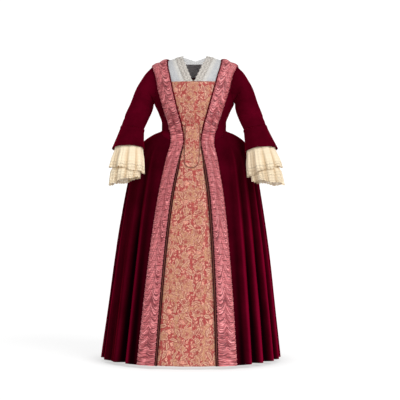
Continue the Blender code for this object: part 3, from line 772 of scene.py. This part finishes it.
# Robings: strips of salmon-pink satin, gathered on a row of stitches along each edge and one down the
# middle, so that fine crosswise puffs stand on both sides of the middle row. They go over each shoulder,
# meet round the back of the neck, and run down the bodice and the overskirt.
SATIN = 0.0014
RUCHE = 0.00483
GATHER = 0.0090
LIFT = 0.0042
satin, tree, shader = new_material("satin", roughness=0.42, sheen_weight=0.15, sheen_roughness=0.4,
                                   sheen_tint=linear(255, 200, 205), anisotropic=0.3)
tone = use(tree, patches, size=0.05, contrast=1.6)[0]
x, y, _ = parts(on_cloth(tree))
stretched = Wire(put(tree, "ShaderNodeCombineXYZ", {0: x * 15.0, 1: y * 135.0}))
painted_wrinkles = Wire(put(tree, "ShaderNodeTexNoise", {"Vector": stretched, "Scale": 1.0, "Detail": 3.0}))
# Painted shade and painted highlight: dark and pale streaks stand for the short wrinkles of the satin.
silk = over(blend(tone, linear(176, 74, 82), linear(208, 108, 112)),
            (ramp(painted_wrinkles, 0.50, 0.60), linear(110, 24, 36)),
            (ramp(painted_wrinkles, 0.48, 0.36, 0.0, 0.95), linear(246, 158, 160)))
# Painted shade: the satin goes dark between the puffs of the gathers and along the stitched rows.
silk = blend(mark(tree, "puff"), linear(90, 20, 28), silk)
plug(shader.inputs["Base Color"], blend(mark(tree, "stitch") * 0.60, silk, linear(118, 38, 44)))
bump(shader, use(tree, weave, pitch=0.0006, slant=0.25)[0], 0.00008, 0.5)


def ruche(length, u, seed):
    """Relief of a gathered strip, the painted shade along its stitch lines, and its gathers, each 0 to 1,
    from u = 0 to 1 across it.

    The relief is |sin(2 pi u)|^0.6 (0.25 + 0.75 wave). Along the strip wave = 1 - size (cos(pi phase))^4,
    where the phase, length / GATHER, and the size of each gather vary slowly, and each half has its own.
    """
    phase = length / GATHER + 0.30 * np.sin(length * 61.0 + 4 * u + seed)
    phase = phase + 0.24 * np.sin(length * 137.0 - 7 * u + 2 * seed)
    phase = phase + 0.35 * (u >= 0.5) * np.sin(length * 29.0 + seed)
    size = 0.50 + 0.60 * np.sin(length * 171.0 + 7 * u + seed) * np.sin(length * 53.0 - 5 * u + 3 * seed)
    size = np.clip(size + 0.45 * np.abs(2 * u - 1) ** 3, 0.0, 1.0)
    wave = 1.0 - np.cos(np.pi * phase) ** 4 * size
    relief = np.abs(np.sin(2 * np.pi * u)) ** 0.6 * (0.25 + 0.75 * wave)
    middle_row_shade = np.exp(-((u - 0.5) / 0.09) ** 2) * (1.15 - wave)
    edge_row_shade = 0.4 * np.exp(-(np.minimum(u, 1 - u) / 0.03) ** 2)
    return relief, np.clip(middle_row_shade + edge_row_shade, 0.0, 1.0), wave


def uneven(z, seed, by=0.0011):
    """How far an edge wanders from its line at a height, as the gathers pull it."""
    return by * (np.sin(z * 690.0 + seed) + 0.7 * np.sin(z * 311.0 + 2 * seed))


def robing(name, node, angle, z, under, seed):
    """A gathered strip of satin over a grid of places on the form, standing out from a height above it."""
    base = form(angle, z)
    u = np.linspace(0.0, 1.0, angle.shape[1])[None, :] + 0.0 * z
    relief, stitch_shade, wave = ruche(run(base, 0).mean(1, keepdims=True), u, seed)
    points = raise_up(base, under + SATIN + RUCHE * relief, level_rows=(0,))
    strip = cloth(name, points, flat_place(points), satin, 0.0010, {"puff": wave ** 0.8, "stitch": stitch_shade})
    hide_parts(node)


ROBING_COLS = 33
BODICE_END_Z, SKIRT_START_Z = -0.3823, -0.3838
for side, label, seed in ((-1.0, "left", 1.0), (1.0, "right", 4.0)):
    edges = [lambda z, c=c: robing_angle(c, uneven(z, seed + c))(z) for c in (1, 2)]
    angle, z = lay_out(level(BODICE_END_Z), ridge_top, *edges, 200, 80, ROBING_COLS)
    under = OVER_2 + LIFT * np.exp(-((z - WAIST_SIDE) / 0.022) ** 2)
    robing(f"ruched_bodice_{label}", f"robing_bodice_{label}", side * angle, z, under, seed)
    angle, z = lay_out(level(HEM_Z), level(SKIRT_START_Z), *edges, 640, 0, ROBING_COLS)
    robing(f"ruched_skirt_{label}", f"robing_skirt_{label}", side * angle, z, OVER_2, seed + 2.0)

# Round the neck the strip runs from one shoulder to the other, and dips over the back.
NECK_ROWS = 260
NECK_BAND_LOW, NECK_BAND_RISE = -0.079, 0.046
turn = np.cos(np.linspace(0.0, 1.0, NECK_ROWS) * np.pi)[:, None]
inner_x, outer_x = ROBING[0, 1] * turn, ROBING[0, 2] * turn
inner_z = np.minimum(ridge(inner_x), neckline(inner_x) - 0.001)
outer_z = np.minimum(ridge(outer_x), NECK_BAND_LOW + NECK_BAND_RISE * np.abs(turn) ** 2.2)
u = np.linspace(0.0, 1.0, ROBING_COLS)[None, :]
x, z = inner_x + (outer_x - inner_x) * u, inner_z + (outer_z - inner_z) * u
z = z + (ridge(x) - z) * ease(0.985, 0.9995, np.abs(turn))
robing("ruched_neck", "robing_neck", np.pi - angle_of(x, z), z, OVER_2 + LIFT * np.abs(turn) ** 8, 7.0)

# Brocade of the stomacher and petticoat: silk woven with blossoms, leaves and winding stems in gold and
# ivory on coral, each drawn with a thin darker line, in a repeat that drops by half from column to column.
BROCADE = 0.0014
UNDER = -0.0006
REPEAT_WIDE, REPEAT_TALL = 0.145, 0.205
BLOSSOMS = (
    # x, y, radius, petals, turn
    (0.000, 0.052, 0.031, 7, 0.3),
    (0.041, -0.034, 0.022, 5, 1.1),
    (-0.047, -0.012, 0.015, 5, 0.0),
    (-0.018, -0.083, 0.017, 6, 0.6),
    (0.046, 0.088, 0.012, 5, 0.2),
)
LEAVES = (
    # x, y, half length, half width, turn, bend
    (-0.042, 0.050, 0.023, 0.0085, 1.1, 9.0),
    (0.045, 0.045, 0.022, 0.0080, 2.0, -9.0),
    (0.006, -0.008, 0.022, 0.0075, 0.5, 10.0),
    (-0.010, -0.046, 0.023, 0.0080, -0.7, -9.0),
    (0.060, 0.008, 0.018, 0.0065, 1.4, 12.0),
    (0.034, -0.080, 0.021, 0.0080, -0.3, 10.0),
    (-0.055, -0.052, 0.019, 0.0070, 1.8, -10.0),
    (-0.056, 0.084, 0.018, 0.0070, 0.4, 10.0),
)


def wrap(value, period):
    """Place inside one repeat, from minus half to half a period."""
    return maths("WRAP", value, period / 2, -period / 2)


def blossom(x, y, centre_x, centre_y, radius, petals, turn):
    """How far inside a blossom: radius (0.68 + 0.32 |cos(petals/2 angle + turn)|) less the distance."""
    dx, dy = x - centre_x, y - centre_y
    lobe = abs(maths("COSINE", maths("ARCTAN2", dy, dx) * (petals / 2) + turn))
    return (lobe * 0.32 + 0.68) * radius - maths("SQRT", dx * dx + dy * dy)


def leaf(x, y, centre_x, centre_y, length, width, turn, bend):
    """How far inside a leaf: width (1 - (p/length)^2) less |q - bend p^2|, in axes turned with it."""
    dx, dy = x - centre_x, y - centre_y
    p, q = dx * np.cos(turn) + dy * np.sin(turn), dy * np.cos(turn) - dx * np.sin(turn)
    return width - p * p * (width / length ** 2) - abs(q - p * p * bend)


def most(first, *others):
    """Largest of several wires."""
    for other in others:
        first = maths("MAXIMUM", first, other)
    return first


# One repeat: the shapes of the figure, the lines round and inside them, and the light along their edges.
floral, (wander, finer, shift), result = new_group(
    "floral_repeat", (("Wander", 0.004), ("Finer", 1.0), ("Shift", 0.0)), ("Figure", "Line", "Light"))
x, y, _ = parts(on_cloth(floral))
x, y = x * finer + shift, y * finer
flat = Wire(put(floral, "ShaderNodeCombineXYZ", {0: x, 1: y}))
cloud = put(floral, "ShaderNodeTexNoise", {"Vector": flat, "Scale": 45.0, "Detail": 2.0})
drift_x, drift_y, _ = parts(Wire(cloud, "Color"))
x, y = x + (drift_x - 0.5) * wander, y + (drift_y - 0.5) * wander
column = maths("FLOOR", x / REPEAT_WIDE + 0.5)
x, y = wrap(x, REPEAT_WIDE), wrap(y + column * (REPEAT_TALL / 2), REPEAT_TALL)
stem = 0.0018 - abs(x - maths("SINE", y * (2 * np.pi / REPEAT_TALL) + 1.0) * 0.020)
inside = most(stem, *(blossom(x, y, *row) for row in BLOSSOMS), *(leaf(x, y, *row) for row in LEAVES))
outline = 1.0 - ramp(abs(inside + 0.0007), 0.0006, 0.0015)
vein = (1.0 - ramp(abs(wrap(inside - 0.0045, 0.0075)), 0.0004, 0.0013)) * 0.75
plug(result["Figure"], ramp(inside, -0.0004, 0.0004))
plug(result["Line"], most(outline, vein))
plug(result["Light"], 1.0 - ramp(abs(inside - 0.0021), 0.0007, 0.0018))

brocade, tree, shader = new_material("brocade", roughness=0.52, sheen_weight=0.1, specular_ior_level=0.4)
figure, line, light = use(tree, floral, wander=0.016)
scroll, scroll_line, scroll_light = use(tree, floral, wander=0.026, finer=2.3, shift=0.043)
sprig, sprig_line, _ = use(tree, floral, wander=0.034, finer=4.6, shift=0.021)
tone = use(tree, patches, size=0.035, contrast=2.0)[0]
small = ramp(use(tree, patches, size=0.008, contrast=3.0)[0], 0.40, 0.60)
zone = ramp(use(tree, patches, size=0.050, contrast=3.0)[0], 0.52, 0.66)
golden = most(figure * 0.9, zone)
coral = blend(tone, linear(160, 48, 48), linear(192, 78, 70))
gold = blend(tone, linear(190, 134, 96), linear(214, 162, 124))
woven = over(blend(golden, coral, gold),
             (scroll * 0.95, blend(golden, linear(240, 172, 146), linear(164, 60, 52))),
             (sprig * 0.50, blend(small, linear(148, 54, 46), linear(246, 204, 174))),
             (sprig_line * 0.5, linear(124, 34, 32)),
             (scroll_line * 0.7, linear(128, 34, 36)),
             (scroll_light * 0.5, linear(246, 204, 174)),
             (light * 0.45, linear(240, 200, 172)),
             (line * 0.7, linear(134, 40, 40)),
             # Painted shade: the tab's binding is coloured dark brown, standing for the shadow along the
             # tab's edge.
             (mark(tree, "binding_shade"), linear(112, 66, 50)))
plug(shader.inputs["Base Color"], woven)
plug(shader.inputs["Roughness"], ramp(figure, 0.0, 1.0, 0.62, 0.44))
bump(shader, figure * 0.8 + use(tree, weave, pitch=0.0009)[0] * 0.4, 0.0004, 0.7)

# Stomacher: one flat boned front between the robings, and the tab that hangs from its point over the
# petticoat, bound along its edge with a narrow tape that stands a little proud. The tape's dark colour is
# painted shade along the tab's edge.
STOMACHER_TOP = -0.106
TAB_HALF, TAB_TOP, TAB_END, TAB_ROUND = 0.0345, -0.300, -0.503, 0.034
angle, z = lay_out(lambda a, z: waist_seam(a) + WAIST_GAP, level(STOMACHER_TOP),
                   lambda z: -robing_angle(1, 0.013)(z), robing_angle(1, 0.013), 90, 0, 61, crowd=1.3)
boned = -0.0004 * (0.5 - 0.5 * np.cos(across(angle, z) * 2 * np.pi / 0.020))
points = raise_up(form(angle, z), UNDER + boned, level_rows=(0,))
front = cloth("brocade_stomacher", points, flat_place(points, 30), brocade, BROCADE, {"binding_shade": 0.0})
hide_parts("stomacher")

TAB_ROWS, TAB_COLS = 90, 31
z = TAB_TOP + (TAB_END - TAB_TOP) * np.sin(np.linspace(0.0, 1.0, TAB_ROWS)[:, None] * np.pi / 2) ** 0.9
z = z + np.zeros((1, TAB_COLS))
past = np.clip((TAB_END + TAB_ROUND - z) / TAB_ROUND, 0.0, 0.99)
round_half = np.sqrt(1 - past ** 2)
half = TAB_HALF * round_half
u = np.linspace(-1.0, 1.0, TAB_COLS)[None, :]
round_end = np.where(past > 0, TAB_ROUND * (1 - np.hypot(past, u * round_half)), TAB_HALF)
# The binding stands a little proud, and its dark colour in the brocade is painted shade along the edge.
binding_and_shade = 1 - ease(0.0026, 0.0040, np.minimum(half * (1 - np.abs(u)), round_end))
points = raise_up(form(angle_of(half * u, z), z), OVER_1 + BROCADE + 0.0007 * binding_and_shade)
tab = cloth("brocade_tab", points, flat_place(points, 15), brocade, 0.0013, {"binding_shade": binding_and_shade})
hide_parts("stomacher_tab")

# Petticoat: a brocade front and a back of the same cloth, seamed at the sides and gathered at the
# waist. It hangs nearly smooth, with a few shallow folds that deepen towards the hem.
PETTICOAT_SEAM = np.radians(58.0)
SEAM_HALF = 0.0005
PETTICOAT_COLS = 141
PETTICOAT_FOLDS = (
    # angle in degrees, half width in degrees, depth at the hem
    (-21.0, 4.0, 0.0050),
    (-9.0, 3.0, 0.0040),
    (3.0, 3.5, 0.0045),
    (15.0, 3.0, 0.0050),
    (24.0, 4.0, 0.0040),
)
cut, behind = PETTICOAT_SEAM - SEAM_HALF, PETTICOAT_SEAM + SEAM_HALF
for label, first, last, flat_size in (("front", -cut, cut, (0.84, 1.03)),
                                      ("back", behind, 2 * np.pi - behind, (1.72, 1.03))):
    turned = np.linspace(first, last, PETTICOAT_COLS)[None, :] + np.zeros((SKIRT_ROWS, 1))
    angle = signed(turned)
    z = skirt_height(turned)
    inset = ease(np.radians(33), np.radians(50), np.abs(angle)) * (0.012 + 0.046 * growth(z))
    troughs = sum(d * np.exp(-((np.degrees(angle) - a) / w) ** 2) for a, w, d in PETTICOAT_FOLDS)
    points = raise_up(form(angle, z, inset), -troughs * growth(z), level_rows=(0, -1))
    skirt = cloth(f"brocade_petticoat_{label}", points, flat_place(points, 70), brocade, BROCADE,
                  {"binding_shade": 0.0})
    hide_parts(f"petticoat_{label}")

# Lace of the cuffs and the neck: cream cotton net, closely worked with small flowers, with a scalloped
# free edge. Each cuff has two gathered tiers sewn inside its hem, the lower one from under the upper one.
LACE = 0.0011
FIGURE_WIDE, FIGURE_TALL = 0.017, 0.015
# Net with a worked flower and two leaves in each repeat: where there is thread, and how high it stands.
lace_work, (mesh,), result = new_group("lace_work", (("Mesh", 0.0019),), ("Solid", "Height"))
wide, tall, _ = parts(on_cloth(lace_work))
x = wrap(wide + maths("FLOOR", tall / FIGURE_TALL) * (FIGURE_WIDE / 2), FIGURE_WIDE)
y = wrap(tall - FIGURE_TALL / 2, FIGURE_TALL)
flower = ramp(most(blossom(x, y, 0.0, 0.0, 0.0056, 5, 0.4),
                   leaf(x, y, 0.0072, 0.0022, 0.0036, 0.0014, 0.9, 20.0),
                   leaf(x, y, -0.0070, -0.0026, 0.0036, 0.0014, 2.3, -20.0)), -0.0003, 0.0003)
turns = 2 * np.pi / mesh
strands = (abs(maths("SINE", way * turns)) for way in (wide + tall, wide - tall))
thread = ramp(most(*strands), 0.80, 0.92)
plug(result["Solid"], most(thread, flower))
plug(result["Height"], flower * 0.6 + thread * 0.4)

lace, tree, shader = new_material("lace", roughness=0.8, sheen_weight=0.1)
solid, height = use(tree, lace_work)
tone = use(tree, patches, size=0.03, contrast=1.6)[0]
# Painted shade: a mark carried by each flounce turns the cream to tan in the hollows of the ruffles and on
# the lower tier under the upper one.
cream = over(blend(tone, linear(240, 220, 188), linear(250, 236, 208)),
             ((1.0 - height) * 0.35, linear(222, 196, 158)),
             (mark(tree, "ruffle_shade"), linear(196, 160, 112)))
white = blend(1.0 - height, blend(tone, linear(206, 200, 192), linear(228, 224, 216)), linear(168, 158, 150))
plug(shader.inputs["Base Color"], blend(mark(tree, "bleached"), cream, white))
plug(shader.inputs["Alpha"], most(solid, mark(tree, "dense")))
bump(shader, height, 0.0005, 0.8)

FLOUNCE_UPPER = np.array([
    # outer x, outer z, inner x, inner z, middle y, half depth, wave
    (0.3556, -0.392, 0.2280, -0.392, -0.1078, 0.0624, 0.0),
    (0.3590, -0.425, 0.2300, -0.425, -0.130, 0.0610, 0.0030),
    (0.3690, -0.462, 0.2260, -0.470, -0.153, 0.0660, 0.0050),
    (0.3760, -0.497, 0.2250, -0.525, -0.173, 0.0700, 0.0060),
])
FLOUNCE_LOWER = np.array([
    # outer x, outer z, inner x, inner z, middle y, half depth, wave
    (0.3522, -0.398, 0.2312, -0.398, -0.1115, 0.0594, 0.0),
    (0.3470, -0.420, 0.2370, -0.420, -0.127, 0.0525, 0.0006),
    (0.3530, -0.462, 0.2390, -0.466, -0.153, 0.0520, 0.0020),
    (0.3610, -0.500, 0.2410, -0.508, -0.1750, 0.0535, 0.0030),
    (0.3700, -0.522, 0.2400, -0.522, -0.1830, 0.0570, 0.0040),
    (0.3740, -0.578, 0.2410, -0.545, -0.203, 0.0650, 0.0060),
])
FLOUNCE_WAVES = 9
FLOUNCE_COLS = 440
# Metres of flat lace for each radian round the cuff, before it is gathered.
LACE_WIDE = 0.171
# name, table, turn of its waves, rows, flat size
FLOUNCE_TIERS = (
    ("upper", FLOUNCE_UPPER, 0.0, 60, (0.56, 0.120)),
    ("lower", FLOUNCE_LOWER, 1.1, 75, (0.52, 0.160)),
)
turn = (np.arange(FLOUNCE_COLS) * 2 * np.pi / FLOUNCE_COLS)[None, :]
for side, label in ((-1.0, "left"), (1.0, "right")):
    for tier, table, phase, rows_down, flat_size in FLOUNCE_TIERS:
        rows = dense(table, rows_down)
        t = np.linspace(0.0, 1.0, rows_down)[:, None]
        wave = np.sin(FLOUNCE_WAVES * turn + phase + 0.5 * np.sin(2 * turn + side))
        wave = wave + 0.35 * np.sin(19 * turn + 2.0 * side + phase) + 0.22 * np.sin(31 * turn + phase)
        points = tube(rows, side, turn, 1.0 + rows[:, 6:7] * wave / 0.07, CUFF_ARCH * 0.5)
        scallop = 0.0045 * np.abs(np.sin(18 * turn + phase)) + 0.0035 * np.sin(5 * turn + side + phase)
        points[..., 2] += 0.0030 * ease(0.86, 1.0, t) - scallop * ease(0.80, 1.0, t)
        # Painted shade in the hollows of the waves, and on the lower tier just under the upper one.
        hollow_shade = np.clip(-wave * 0.5 + 0.1, 0.0, 1.0) * ease(0.05, 0.5, t) * 0.7
        under = (1 - ease(0.50, 0.75, t)) * (tier == "lower")
        uv = np.stack([LACE_WIDE * turn + 0.0 * t, run(points, 0)], -1)
        flounce = cloth(f"lace_{tier}_{label}", points, uv, lace, 0.0006,
                        {"ruffle_shade": np.clip(hollow_shade + 0.8 * under, 0.0, 1.0), "dense": 1 - ease(0.70, 0.95, t)},
                        ring=True)
        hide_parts(f"flounce_{tier}_{label}")

# Tucker: fine net tucked into the neckline, seen through a little, with lace laid along the two edges of
# its V. The lace has pointed scallops on the side of the opening, and net fills in the back of the neck.
TUCKER_LOW = STOMACHER_TOP + 0.0003
TOOTH_DEPTH, TOOTH_PITCH = 0.0095, 0.0170
NET_BACK_LOW, NET_BACK_HALF = -0.070, 0.134
NECK_V = np.array([
    # z, distance from the centre
    (-0.1065, 0.004),
    (-0.060, 0.024),
    (-0.020, 0.041),
    (0.020, 0.057),
])
net, tree, shader = new_material("net", roughness=0.8)
tone = use(tree, patches, size=0.03, contrast=1.8)[0]
threads = use(tree, weave, pitch=0.0013)[0]
sprays = mark(tree, "worked") * (use(tree, lace_work)[1] * 0.5 + 0.5)
net_tone = blend(tone, linear(184, 186, 191), linear(214, 214, 214))
plug(shader.inputs["Base Color"], blend(sprays, net_tone, linear(226, 222, 214)))
plug(shader.inputs["Alpha"], ramp(threads, 0.30, 0.75, 0.55, 0.95) * (1.0 - mark(tree, "sheer")))
bump(shader, threads, 0.0002, 0.6)


def v_angle(shift):
    """Angle of the V's edge, moved out by a distance."""
    return lambda z: angle_of(smooth(NECK_V, z, 1) + shift, z)


def teeth(z):
    """Pointed scallops along the V: depth |sin(pi z / pitch)|^0.8."""
    return TOOTH_DEPTH * np.abs(np.sin(np.pi * z / TOOTH_PITCH)) ** 0.8


for side, label in ((-1.0, "left"), (1.0, "right")):
    angle, z = lay_out(level(TUCKER_LOW), ridge_top, v_angle(0.0), robing_angle(1, 0.012), 12, 44, 50)
    ripple = -0.0004 * (0.5 + 0.5 * np.sin(across(angle, z) * 300.0 + 30.0 * z))
    points = raise_up(form(side * angle, z), UNDER + ripple)
    worked = 1 - ease(0.044, 0.064, across(angle, z) - smooth(NECK_V, z, 1))
    fill = cloth(f"net_tucker_{label}", points, flat_place(points), net, 0.0006,
                 {"sheer": 0.0, "worked": worked})
    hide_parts(f"tucker_{label}")
    angle, z = lay_out(level(TUCKER_LOW), ridge_top, lambda z: v_angle(-0.0060 + teeth(z))(z),
                       v_angle(0.036), 30, 110, 24)
    points = raise_up(form(side * angle, z), 0.2 * LAYER + LACE)
    edging = cloth(f"lace_edging_{label}", points, flat_place(points)[..., ::-1], lace, 0.0008,
                   {"ruffle_shade": 0.0, "dense": 0.0, "bleached": 1.0})
    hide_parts(f"tucker_lace_{label}")

angle, z = lay_out(level(NET_BACK_LOW),
                   lambda a, z: np.minimum(ridge_top(a, z), 0.004 + 0.29 * np.abs(across(a, z))),
                   lambda z: -angle_of(NET_BACK_HALF, z), lambda z: angle_of(NET_BACK_HALF, z), 40, 0, 61)
points = raise_up(form(np.pi - angle, z), 5 * UNDER)
fill = cloth("net_tucker_back", points, flat_place(points), net, 0.0006, {"sheer": 0.6})
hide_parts("tucker_back")
